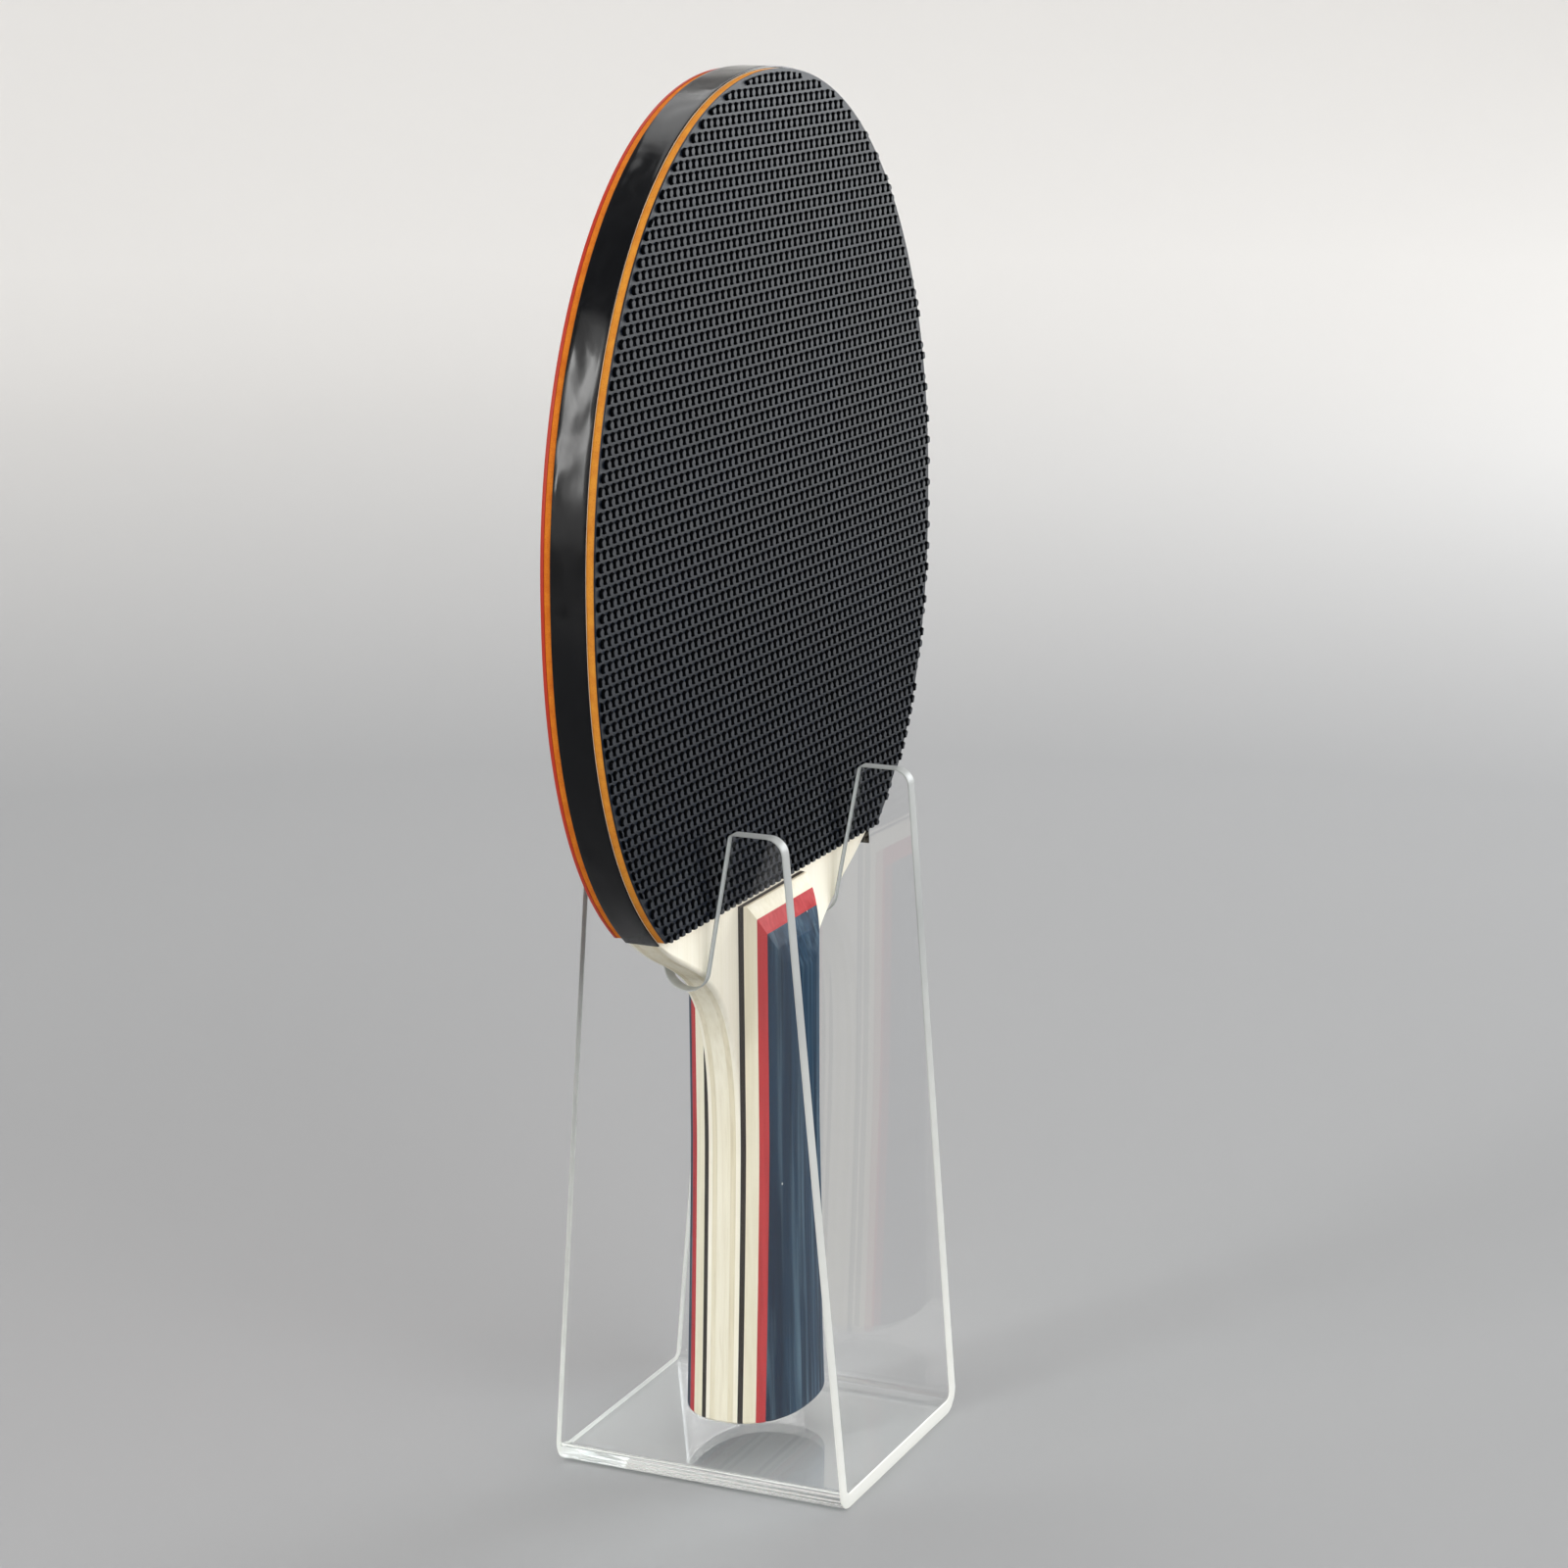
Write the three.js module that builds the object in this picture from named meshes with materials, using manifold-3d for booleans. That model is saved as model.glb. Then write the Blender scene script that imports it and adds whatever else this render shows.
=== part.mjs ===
// A clear acrylic display stand with a table-tennis racket hanging in its two notches.
// Millimetres, +Z up. The origin is the centre of the stand's underside.
// X runs from one upright to the other, across the racket's width.
// Y runs through the racket's thickness: the black face looks to -Y and the red face to +Y.
import * as THREE from 'three';
import { mergeVertices } from 'three/addons/utils/BufferGeometryUtils.js';
import Module from 'manifold-3d';

const wasm = await Module();
wasm.setup();

// Sizes of the stand's sheet. The notch and the height follow from the racket that hangs in it.
const SHEET_THICKNESS = 3;
const STAND_LENGTH = 58; // over the uprights' outer faces, at the foot
const STAND_WIDTH = 61; // along the bends
const BEND_RADIUS = 4.5; // outside of each bend
const UPRIGHT_LEAN_DEGREES = 1.08; // outwards
const NOTCH_DEPTH = 31.1; // from the top edge to the notch's lowest point
const PRONG_WIDTH = 10.8; // top edge on either side of the notch
const PRONG_OUTER_RADIUS = 3.5;
const PRONG_INNER_RADIUS = 1;

// How the racket hangs in the stand
const HANDLE_ABOVE_BASE = 6.6; // under the handle's end
const NOTCH_SIDE_SLACK = 0.8; // between the notch's round bottom and each face of the blade
const RUBBER_SLACK = 0.35; // between the notch's sides and the rubber's lower edge
const SEAT_GAP = 0.3; // between the blade's edge and the notch's bottom
const CUT_OVERRUN = 5; // how far a cutting shape runs past what it cuts

// Sizes of the racket's head. The lower half of its outline is squarer than the upper half.
const HEAD_WIDTH = 150;
const HEAD_UPPER_HEIGHT = 87.7; // above the widest line
const HEAD_LOWER_HEIGHT = 81; // below the widest line, if the outline closed there
const HEAD_UPPER_POWER = 2.09;
const HEAD_LOWER_POWER = 2.32;
const WIDEST_ABOVE_CUT = 66; // from the rubber's straight lower edge to the widest line

// Sizes of the wings, where the blade narrows from the head to the handle
const WING_HALF_WIDTH = 38; // where the wing's hollow curve meets the head's outline
const WING_PULL_UP = 32; // how long the hollow curve keeps to the handle's side
const WING_PULL_IN = 13.4; // how long it keeps to the head's outline
const WING_ROUNDING = 0.8; // radius along the wings' edges

// Sizes of the blade's plies, from the middle outwards
const CORE_PLY = 2.8;
const INNER_PLY = 1.1;
const FACE_PLY = 0.9;

// Sizes of the rubbers and the edge tape
const BLACK_SPONGE = 1.5;
const BLACK_SHEET = 0.9; // with its pimples
const RED_SPONGE = 1.4;
const RED_SHEET = 0.8;
const TAPE_THICKNESS = 0.3;
const TAPE_GAP = 0.1;
const TAPE_TAIL = 1.5; // how far its ends reach below the rubber's lower edge

// Sizes of the handle, measured up from its end
const HANDLE_LENGTH = 105.9; // to the rubber's lower edge
const NECK_HEIGHT = 56.4; // where the handle is narrowest and the wings begin
const HANDLE_END_WIDTH = 33.4;
const HANDLE_NECK_WIDTH = 27.9;
const HANDLE_TOP_WIDTH = 28.6;
const HANDLE_END_THICKNESS = 24.4;
const HANDLE_NECK_THICKNESS = 22.9;
const HANDLE_FLARE_POWER = 1.25;
const HANDLE_SECTION_POWER = 2.3; // 2 would be an ellipse
const SHELL_CROWN_DEGREES = 80; // where the shell's rounded section ends in a narrow flat
const DARK_VENEER = 1;
const PALE_LAYER = 2.25;
const RED_LAYER = 1.5;
const HANDLE_TOP_GAP = 0.3; // between the handle's top and the rubber
const BEVEL_HEIGHT = 16.2; // how far the rounded top end comes down the shell
const BEVEL_OUT_SHARE = 0.47; // shape of the top end: its pull outwards
const BEVEL_DOWN_SHARE = 0.16; // and downwards

// How finely the curves are cut
const HEAD_STEPS = 76;
const WING_STEPS = 14;
const HANDLE_STEPS = 8;
const LAYER_LEVELS = 14;
const ROUNDING_STEPS = 3;
const ARC_STEPS = 6;
const NOTCH_STEPS = 12;

// Places that follow from the sizes. Heights of the racket are above the handle's end.
const bladeHalf = CORE_PLY / 2 + INNER_PLY + FACE_PLY;
const rubberHalf = bladeHalf + Math.max(BLACK_SPONGE + BLACK_SHEET, RED_SPONGE + RED_SHEET);
const headHalfWidth = HEAD_WIDTH / 2;
const cutHeight = HANDLE_LENGTH;
const widestHeight = cutHeight + WIDEST_ABOVE_CUT;
const handleTop = cutHeight - HANDLE_TOP_GAP;
const racketHeight = SHEET_THICKNESS + HANDLE_ABOVE_BASE;
const lean = THREE.MathUtils.degToRad(UPRIGHT_LEAN_DEGREES);

// A smooth step from 0 to 1 between two heights
function ease(from, to, value) {
  return THREE.MathUtils.smoothstep(value, from, to);
}

// A point of the head's outline. Angle 0 is the right end of the widest line, and a quarter turn is the top.
function headPoint(angle) {
  const upper = Math.sin(angle) >= 0;
  const power = upper ? HEAD_UPPER_POWER : HEAD_LOWER_POWER;
  const height = upper ? HEAD_UPPER_HEIGHT : HEAD_LOWER_HEIGHT;
  const across = Math.sign(Math.cos(angle)) * Math.abs(Math.cos(angle)) ** (2 / power);
  const up = Math.sign(Math.sin(angle)) * Math.abs(Math.sin(angle)) ** (2 / power);
  return new THREE.Vector2(headHalfWidth * across, widestHeight + height * up);
}

// The angles at which the outline's lower half passes a height, or a half width
function headAngleAtHeight(height) {
  return -Math.asin(((widestHeight - height) / HEAD_LOWER_HEIGHT) ** (HEAD_LOWER_POWER / 2));
}

function headAngleAtHalfWidth(halfWidth) {
  return -Math.acos((halfWidth / headHalfWidth) ** (HEAD_LOWER_POWER / 2));
}

// The head's outline from one angle on the right round the top to the same height on the left
function headArc(startAngle) {
  const sweep = Math.PI - 2 * startAngle;
  const points = [];
  for (let i = 0; i <= HEAD_STEPS; i++) {
    points.push(headPoint(startAngle + (sweep * i) / HEAD_STEPS));
  }
  return points;
}

// Half the handle's width and half its thickness at a height
function handleFlare(height) {
  return Math.max(1 - height / NECK_HEIGHT, 0) ** HANDLE_FLARE_POWER;
}

function handleHalfWidth(height) {
  const widening = ease(NECK_HEIGHT, cutHeight, height) * (HANDLE_TOP_WIDTH - HANDLE_NECK_WIDTH);
  const flare = handleFlare(height) * (HANDLE_END_WIDTH - HANDLE_NECK_WIDTH);
  return (HANDLE_NECK_WIDTH + widening + flare) / 2;
}

function handleHalfThickness(height) {
  const flare = handleFlare(height) * (HANDLE_END_THICKNESS - HANDLE_NECK_THICKNESS);
  return (HANDLE_NECK_THICKNESS + flare) / 2;
}

// The handle's side at a distance from its middle plane: its section is a rounded rectangle
function handleSide(distance, height) {
  const ratio = distance / handleHalfThickness(height);
  return handleHalfWidth(height) * (1 - ratio ** HANDLE_SECTION_POWER) ** (1 / HANDLE_SECTION_POWER);
}

// The right side of the blade's outline, from the handle's end up to where the wing meets the head
function wingSide(distance) {
  const points = [];
  for (let i = 0; i < HANDLE_STEPS; i++) {
    const height = (NECK_HEIGHT * i) / HANDLE_STEPS;
    points.push(new THREE.Vector2(handleSide(distance, height), height));
  }
  const meetAngle = headAngleAtHalfWidth(WING_HALF_WIDTH);
  const meet = headPoint(meetAngle);
  const nearby = headPoint(meetAngle + Math.PI / HEAD_STEPS);
  const along = nearby.sub(meet).normalize();
  const neck = new THREE.Vector2(handleSide(distance, NECK_HEIGHT), NECK_HEIGHT);
  const hollow = new THREE.CubicBezierCurve(
    neck,
    new THREE.Vector2(neck.x, neck.y + WING_PULL_UP),
    new THREE.Vector2(meet.x - along.x * WING_PULL_IN, meet.y - along.y * WING_PULL_IN),
    meet,
  );
  points.push(...hollow.getPoints(WING_STEPS));
  return points;
}

// The blade's whole outline, counter-clockwise from the right corner of the handle's end
function bladeOutline(distance) {
  const right = wingSide(distance);
  const left = right.map((point) => new THREE.Vector2(-point.x, point.y)).reverse();
  const head = headArc(headAngleAtHalfWidth(WING_HALF_WIDTH));
  return [...right.slice(0, -1), ...head, ...left.slice(1)];
}

// The outline drawn in by a distance, which may change from point to point
function drawnIn(outline, amountAt) {
  return outline.map((point, i) => {
    const before = outline[(i + outline.length - 1) % outline.length];
    const after = outline[(i + 1) % outline.length];
    const along = after.clone().sub(before).normalize();
    const amount = amountAt(point);
    return new THREE.Vector2(point.x - along.y * amount, point.y + along.x * amount);
  });
}

// The blade's outline at a distance from its middle plane, with the wings' edges rounded
function roundedBladeOutline(distance) {
  const into = Math.max(distance - (bladeHalf - WING_ROUNDING), 0) / WING_ROUNDING;
  const amount = WING_ROUNDING * (1 - Math.sqrt(Math.max(1 - into * into, 0)));
  const wingTop = headPoint(headAngleAtHalfWidth(WING_HALF_WIDTH)).y;
  return drawnIn(bladeOutline(distance), (point) => {
    const aboveNeck = ease(NECK_HEIGHT, NECK_HEIGHT + WING_PULL_UP, point.y);
    const belowRubber = 1 - ease(wingTop, cutHeight, point.y);
    return amount * aboveNeck * belowRubber;
  });
}

// A closed mesh from its corners and triangles
function meshGeometry(corners, triangles) {
  const geometry = new THREE.BufferGeometry();
  geometry.setAttribute('position', new THREE.Float32BufferAttribute(corners, 3));
  geometry.setIndex(triangles);
  geometry.computeVertexNormals();
  return geometry;
}

// A closed solid through outlines of equally many points, each at its own place along Y
function loftAlongY(outlines, places) {
  const count = outlines[0].length;
  const last = outlines.length - 1;
  const corners = [];
  const triangles = [];
  outlines.forEach((outline, k) => {
    outline.forEach((point) => corners.push(point.x, places[k], point.y));
  });
  for (let k = 0; k < last; k++) {
    for (let i = 0; i < count; i++) {
      const a = k * count + i;
      const b = k * count + ((i + 1) % count);
      triangles.push(a, b + count, b);
      triangles.push(a, a + count, b + count);
    }
  }
  for (const [a, b, c] of THREE.ShapeUtils.triangulateShape(outlines[0], [])) {
    triangles.push(a, b, c);
  }
  for (const [a, b, c] of THREE.ShapeUtils.triangulateShape(outlines[last], [])) {
    triangles.push(last * count + c, last * count + b, last * count + a);
  }
  return meshGeometry(corners, triangles);
}

// One ply of the blade between two distances from the middle plane, on the side -1 (front) or 1 (back)
function ply(inner, outer, side) {
  const distances = [inner];
  const roundingStart = bladeHalf - WING_ROUNDING;
  for (let i = 0; i < ROUNDING_STEPS; i++) {
    const turn = (Math.PI / 2) * (i / ROUNDING_STEPS);
    const distance = roundingStart + WING_ROUNDING * Math.sin(turn);
    if (distance > inner && distance < outer) {
      distances.push(distance);
    }
  }
  distances.push(outer);
  if (side < 0) {
    distances.reverse();
  }
  return loftAlongY(distances.map(roundedBladeOutline), distances.map((distance) => side * distance));
}

function corePly() {
  const half = CORE_PLY / 2;
  return loftAlongY([roundedBladeOutline(half), roundedBladeOutline(half)], [-half, half]);
}

// A rubber or sponge: the head's outline with its straight lower edge, on the side -1 or 1
function headSlab(inner, thickness, side) {
  const outline = headArc(headAngleAtHeight(cutHeight));
  const places = [side * inner, side * (inner + thickness)];
  places.sort((a, b) => a - b);
  return loftAlongY([outline, outline], places);
}

// The tape round the blade's edge, open at the bottom
function edgeTape() {
  const end = headAngleAtHeight(cutHeight - TAPE_TAIL);
  // The arc starts a step before the tape's end, because its first and last points are left out below
  const step = (Math.PI - 2 * end) / (HEAD_STEPS - 2);
  const onEdge = headArc(end - step);
  const inside = drawnIn(onEdge, () => -TAPE_GAP);
  const outside = drawnIn(onEdge, () => -(TAPE_GAP + TAPE_THICKNESS));
  const outline = [...outside.slice(1, -1), ...inside.slice(1, -1).reverse()];
  return loftAlongY([outline, outline], [-bladeHalf, bladeHalf]);
}

// How far the handle's rounded top end has come down at a distance from the middle plane
function bevelDrop(distance) {
  const outermost = handleHalfThickness(handleTop);
  const out = (distance - bladeHalf) / (outermost - bladeHalf);
  const bend = 1 - 2 * BEVEL_OUT_SHARE;
  const along = (Math.sqrt(BEVEL_OUT_SHARE ** 2 + bend * out) - BEVEL_OUT_SHARE) / bend;
  return BEVEL_HEIGHT * (2 * along * (1 - along) * BEVEL_DOWN_SHARE + along * along);
}

// The angle round the handle's section at which it is a distance from the middle plane, and back
function sectionAngle(distance, height) {
  return Math.asin((distance / handleHalfThickness(height)) ** (HANDLE_SECTION_POWER / 2));
}

function sectionDistance(angle, height) {
  return handleHalfThickness(height) * Math.sin(angle) ** (2 / HANDLE_SECTION_POWER);
}

// One layer of the handle between two distances from the middle plane. The shell has no outer
// distance: it ends at the crown of the handle's section.
function handleLayer(inner, outer, columns, side) {
  const isShell = outer === null;
  const crown = THREE.MathUtils.degToRad(SHELL_CROWN_DEGREES);
  const distanceAt = (column, height) => {
    if (column === 0) return inner;
    if (column === columns && !isShell) return outer;
    const start = sectionAngle(inner, height);
    const end = isShell ? crown : sectionAngle(outer, height);
    return sectionDistance(start + ((end - start) * column) / columns, height);
  };
  const corners = [];
  const triangles = [];
  const corner = (column, level, right) => 2 * (column * (LAYER_LEVELS + 1) + level) + right;
  for (let column = 0; column <= columns; column++) {
    const top = handleTop - bevelDrop(distanceAt(column, handleTop));
    for (let level = 0; level <= LAYER_LEVELS; level++) {
      const height = (top * level) / LAYER_LEVELS;
      const distance = distanceAt(column, height);
      const halfWidth = handleSide(distance, height);
      corners.push(-halfWidth, side * distance, height);
      corners.push(halfWidth, side * distance, height);
    }
  }
  const quad = (a, b, c, d) => {
    if (side > 0) {
      triangles.push(a, b, c, a, c, d);
    } else {
      triangles.push(a, c, b, a, d, c);
    }
  };
  for (let level = 0; level < LAYER_LEVELS; level++) {
    const up = level + 1;
    quad(corner(0, level, 0), corner(0, level, 1), corner(0, up, 1), corner(0, up, 0));
    quad(corner(columns, level, 1), corner(columns, level, 0), corner(columns, up, 0), corner(columns, up, 1));
    for (let column = 0; column < columns; column++) {
      const out = column + 1;
      quad(corner(column, level, 1), corner(out, level, 1), corner(out, up, 1), corner(column, up, 1));
      quad(corner(out, level, 0), corner(column, level, 0), corner(column, up, 0), corner(out, up, 0));
    }
  }
  for (let column = 0; column < columns; column++) {
    const out = column + 1;
    const top = LAYER_LEVELS;
    quad(corner(column, 0, 1), corner(column, 0, 0), corner(out, 0, 0), corner(out, 0, 1));
    quad(corner(column, top, 0), corner(column, top, 1), corner(out, top, 1), corner(out, top, 0));
  }
  return meshGeometry(corners, triangles);
}

// The height of the blade's edge at a place along X, on the wing
function wingHeightAt(across) {
  const side = wingSide(bladeHalf);
  const next = side.findIndex((point) => point.x > across);
  const low = side[next - 1];
  const high = side[next];
  return low.y + ((high.y - low.y) * (across - low.x)) / (high.x - low.x);
}

// Where an upright's inner face stands at a height above the table
function uprightInnerFace(height) {
  return STAND_LENGTH / 2 - SHEET_THICKNESS / Math.cos(lean) + height * Math.tan(lean);
}

// The notch: a round bottom that the blade's rounded edges sit in, and sides that clear the rubber
function notchPlan() {
  const radius = bladeHalf + NOTCH_SIDE_SLACK;
  let seatAcross = uprightInnerFace(racketHeight + NECK_HEIGHT);
  seatAcross = uprightInnerFace(racketHeight + wingHeightAt(seatAcross));
  const ride = Math.sqrt((radius - WING_ROUNDING) ** 2 - (bladeHalf - WING_ROUNDING) ** 2);
  const seatRise = radius - WING_ROUNDING - ride;
  const bottom = racketHeight + wingHeightAt(seatAcross) - seatRise - SEAT_GAP;
  const centre = new THREE.Vector2(0, bottom + radius);
  const clear = new THREE.Vector2(rubberHalf + RUBBER_SLACK, racketHeight + cutHeight);
  const away = clear.clone().sub(centre);
  const startAngle = away.angle() - Math.acos(radius / away.length());
  const touch = new THREE.Vector2(Math.cos(startAngle), Math.sin(startAngle)).multiplyScalar(radius).add(centre);
  const top = bottom + NOTCH_DEPTH;
  const topHalfWidth = touch.x + ((clear.x - touch.x) * (top - touch.y)) / (clear.y - touch.y);
  return { radius, centre, startAngle, touch, top, topHalfWidth };
}

// The points that round a corner between two straight edges
function roundedCorner(before, corner, after, wantedRadius) {
  const back = before.clone().sub(corner);
  const on = after.clone().sub(corner);
  const half = Math.acos(back.clone().normalize().dot(on.clone().normalize())) / 2;
  const room = Math.min(back.length(), on.length()) / 2;
  const radius = Math.min(wantedRadius, room * Math.tan(half));
  const reach = radius / Math.tan(half);
  const start = corner.clone().add(back.setLength(reach));
  const end = corner.clone().add(on.setLength(reach));
  const middle = corner.clone().add(back.add(on).setLength(radius / Math.sin(half)));
  const from = start.clone().sub(middle).angle();
  let turn = end.clone().sub(middle).angle() - from;
  if (turn > Math.PI) turn -= 2 * Math.PI;
  if (turn < -Math.PI) turn += 2 * Math.PI;
  const points = [];
  for (let i = 0; i <= ARC_STEPS; i++) {
    const angle = from + (turn * i) / ARC_STEPS;
    points.push(new THREE.Vector2(Math.cos(angle), Math.sin(angle)).multiplyScalar(radius).add(middle));
  }
  return points;
}

// The stand seen from the side of an upright: Y across, Z up
function uprightOutline(notch) {
  const topOuter = new THREE.Vector2(notch.topHalfWidth + PRONG_WIDTH, notch.top);
  const topInner = new THREE.Vector2(notch.topHalfWidth, notch.top);
  const foot = new THREE.Vector2(STAND_WIDTH / 2, BEND_RADIUS);
  const right = [new THREE.Vector2(STAND_WIDTH / 2, -CUT_OVERRUN), foot];
  right.push(...roundedCorner(foot, topOuter, topInner, PRONG_OUTER_RADIUS));
  right.push(...roundedCorner(topOuter, topInner, notch.touch, PRONG_INNER_RADIUS));
  for (let i = 0; i < NOTCH_STEPS; i++) {
    const angle = notch.startAngle - ((notch.startAngle + Math.PI / 2) * i) / NOTCH_STEPS;
    right.push(new THREE.Vector2(Math.cos(angle), Math.sin(angle)).multiplyScalar(notch.radius).add(notch.centre));
  }
  const left = right.map((point) => new THREE.Vector2(-point.x, point.y)).reverse();
  const lowest = new THREE.Vector2(0, notch.centre.y - notch.radius);
  return new THREE.Shape([...right, lowest, ...left]);
}

// The bent sheet seen along its bends: X across, Z up, with the uprights running past their top
function bentSheetProfile(notch) {
  const inner = BEND_RADIUS - SHEET_THICKNESS;
  const centreX = STAND_LENGTH / 2 - (BEND_RADIUS * (1 - Math.sin(lean))) / Math.cos(lean);
  const centre = new THREE.Vector2(centreX, BEND_RADIUS);
  const faceLength = (notch.top + CUT_OVERRUN) / Math.cos(lean);
  const upward = new THREE.Vector2(Math.sin(lean), Math.cos(lean)).multiplyScalar(faceLength);
  const bend = (radius) => {
    const points = [];
    for (let i = 0; i <= ARC_STEPS; i++) {
      const angle = -Math.PI / 2 + ((Math.PI / 2 - lean) * i) / ARC_STEPS;
      points.push(new THREE.Vector2(Math.cos(angle), Math.sin(angle)).multiplyScalar(radius).add(centre));
    }
    return points;
  };
  const outerBend = bend(BEND_RADIUS);
  const innerBend = bend(inner);
  const outerTop = outerBend[ARC_STEPS].clone().add(upward);
  const innerTop = innerBend[ARC_STEPS].clone().add(upward);
  const right = [...outerBend, outerTop, innerTop, ...innerBend.reverse()];
  const left = right.map((point) => new THREE.Vector2(-point.x, point.y)).reverse();
  return new THREE.Shape([...right, ...left]);
}

// A shape drawn in two axes and run out along the third, from -length / 2 to length / 2
function prism(shape, length, firstAxis, secondAxis) {
  const geometry = new THREE.ExtrudeGeometry(shape, { depth: length, bevelEnabled: false });
  geometry.translate(0, 0, -length / 2);
  const thirdAxis = firstAxis.clone().cross(secondAxis);
  geometry.applyMatrix4(new THREE.Matrix4().makeBasis(firstAxis, secondAxis, thirdAxis));
  return geometry;
}

function toManifold(geometry) {
  geometry.deleteAttribute('normal');
  geometry.deleteAttribute('uv');
  const merged = mergeVertices(geometry);
  return new wasm.Manifold(new wasm.Mesh({
    numProp: 3,
    vertProperties: new Float32Array(merged.attributes.position.array),
    triVerts: new Uint32Array(merged.index.array),
  }));
}

function fromManifold(solid) {
  const mesh = solid.getMesh();
  return meshGeometry(Array.from(mesh.vertProperties), Array.from(mesh.triVerts));
}

// The stand: one sheet bent up at both ends, cut to the uprights' outline
function acrylicStand() {
  const notch = notchPlan();
  const axisX = new THREE.Vector3(1, 0, 0);
  const axisY = new THREE.Vector3(0, 1, 0);
  const axisZ = new THREE.Vector3(0, 0, 1);
  const sheet = toManifold(prism(bentSheetProfile(notch), STAND_WIDTH + 2 * CUT_OVERRUN, axisX, axisZ));
  const reach = 2 * (uprightInnerFace(notch.top) + SHEET_THICKNESS + CUT_OVERRUN);
  const outline = toManifold(prism(uprightOutline(notch), reach, axisY, axisZ));
  return fromManifold(sheet.intersect(outline));
}

function addPart(parent, name, geometry, colour, roughness, options = {}) {
  const material = new THREE.MeshStandardMaterial({ color: colour, roughness, metalness: 0, ...options });
  const mesh = new THREE.Mesh(geometry, material);
  mesh.name = name;
  parent.add(mesh);
}

const part = new THREE.Group();
addPart(part, 'acrylic_stand', acrylicStand(), 0xf2f6f6, 0.05, { transparent: true, opacity: 0.3 });

const racket = new THREE.Group();
racket.position.set(0, 0, racketHeight);
part.add(racket);
addPart(racket, 'blade_core', corePly(), 0xe9e0c6, 0.6);

// Everything that the blade carries on both sides: the front looks to -Y, the back to +Y
const innerFrom = CORE_PLY / 2;
const faceFrom = innerFrom + INNER_PLY;
const paleFrom = bladeHalf + DARK_VENEER;
const redFrom = paleFrom + PALE_LAYER;
const shellFrom = redFrom + RED_LAYER;
for (const [place, side] of [['front', -1], ['back', 1]]) {
  addPart(racket, `blade_inner_ply_${place}`, ply(innerFrom, faceFrom, side), 0xddd3b8, 0.6);
  addPart(racket, `blade_face_ply_${place}`, ply(faceFrom, bladeHalf, side), 0xf2ebd6, 0.5);
  addPart(racket, `handle_dark_veneer_${place}`, handleLayer(bladeHalf, paleFrom, 2, side), 0x2a221b, 0.5);
  addPart(racket, `handle_pale_layer_${place}`, handleLayer(paleFrom, redFrom, 3, side), 0xefe8cf, 0.5);
  addPart(racket, `handle_red_layer_${place}`, handleLayer(redFrom, shellFrom, 3, side), 0xc8404a, 0.5);
  addPart(racket, `handle_blue_shell_${place}`, handleLayer(shellFrom, null, 9, side), 0x2c4258, 0.4);
}
addPart(racket, 'black_sponge', headSlab(bladeHalf, BLACK_SPONGE, -1), 0xe08a2a, 0.8);
addPart(racket, 'black_topsheet', headSlab(bladeHalf + BLACK_SPONGE, BLACK_SHEET, -1), 0x2b2f31, 0.6);
addPart(racket, 'red_sponge', headSlab(bladeHalf, RED_SPONGE, 1), 0xe08a2a, 0.8);
addPart(racket, 'red_topsheet', headSlab(bladeHalf + RED_SPONGE, RED_SHEET, 1), 0xc8322c, 0.4);
addPart(racket, 'edge_tape', edgeTape(), 0x0c0d10, 0.2);

export default part;
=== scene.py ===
"""The looks of a clear acrylic display stand with a table-tennis racket hanging in its two notches.

Metres, +Z up, in the CAD frame: X runs across the racket's width and Y through its thickness.
The outlines follow the CAD part's own formulas with finer steps, and places come from its nodes.
Heights of the racket are above the handle's end, unless a name says otherwise.
"""

import math

import bpy
from mathutils import Color, Matrix, Vector, noise


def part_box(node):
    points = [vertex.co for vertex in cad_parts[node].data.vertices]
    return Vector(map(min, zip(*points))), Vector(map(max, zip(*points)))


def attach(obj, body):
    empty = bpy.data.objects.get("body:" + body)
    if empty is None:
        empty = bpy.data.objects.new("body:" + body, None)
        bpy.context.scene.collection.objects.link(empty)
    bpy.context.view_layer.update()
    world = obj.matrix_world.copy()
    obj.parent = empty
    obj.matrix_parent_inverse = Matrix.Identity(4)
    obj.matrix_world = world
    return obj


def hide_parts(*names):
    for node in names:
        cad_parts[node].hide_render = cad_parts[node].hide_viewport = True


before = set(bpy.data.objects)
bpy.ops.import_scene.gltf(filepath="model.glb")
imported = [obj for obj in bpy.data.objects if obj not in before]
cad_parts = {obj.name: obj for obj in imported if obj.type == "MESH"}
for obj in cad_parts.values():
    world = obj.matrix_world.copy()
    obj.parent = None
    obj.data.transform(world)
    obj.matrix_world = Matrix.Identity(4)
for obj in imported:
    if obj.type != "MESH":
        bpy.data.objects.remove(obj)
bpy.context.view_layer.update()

# Sizes of the racket's head that the nodes' boxes don't give
HEAD_UPPER_POWER = 2.09
HEAD_LOWER_POWER = 2.32
HEAD_LOWER_HEIGHT = 0.081  # below the widest line, if the outline closed there
WIDEST_ABOVE_CUT = 0.066  # from the rubber's straight lower edge to the widest line

# Sizes of the wings, where the blade narrows from the head to the handle
WING_HALF_WIDTH = 0.038  # where the wing's hollow curve meets the head's outline
WING_PULL_UP = 0.032  # how long the hollow curve keeps to the handle's side
WING_PULL_IN = 0.0134  # how long it keeps to the head's outline
WING_ROUNDING = 0.0008

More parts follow.
